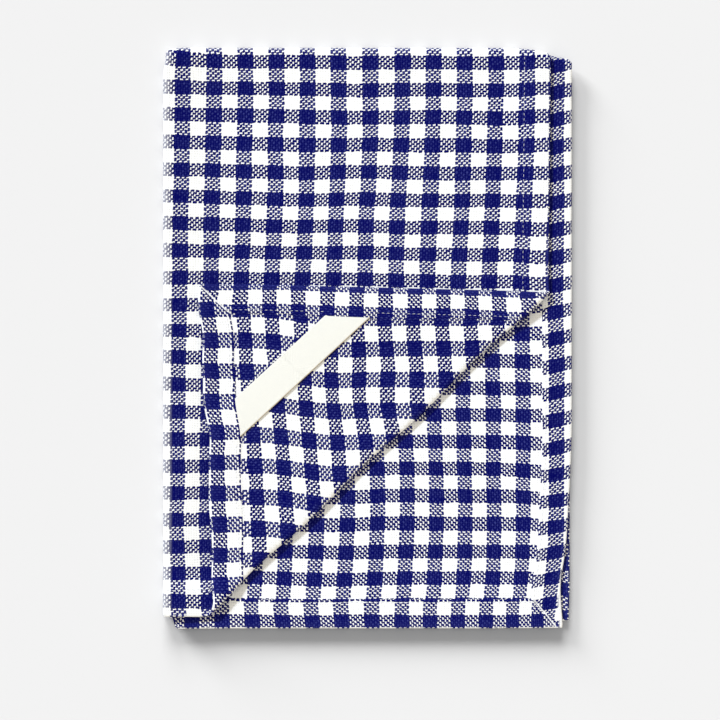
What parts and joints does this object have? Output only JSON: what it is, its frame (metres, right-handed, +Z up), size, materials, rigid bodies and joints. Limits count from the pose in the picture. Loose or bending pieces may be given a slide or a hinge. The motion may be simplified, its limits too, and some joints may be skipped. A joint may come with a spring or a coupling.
{
  "type": "tea towel",
  "caption": "Rectangular woven cotton tea towel, hemmed on all sides, folded flat in quarters with one corner turned back to show a tape hanging loop.",
  "frame": {"origin": "on the surface the towel lies on, under the middle of its folded outline", "axes": "+X from the side fold to the open side, +Y from the open end hems to the top fold, +Z up out of the surface"},
  "size_m": [0.2498, 0.3552, 0.0144],
  "materials": {
    "gingham": "plain woven cotton, navy and white check",
    "tape": "flat woven cotton tape, cream"
  },
  "bodies": {
    "root": {"cloth": "gingham", "loop": "tape"}
  },
  "joints": []
}
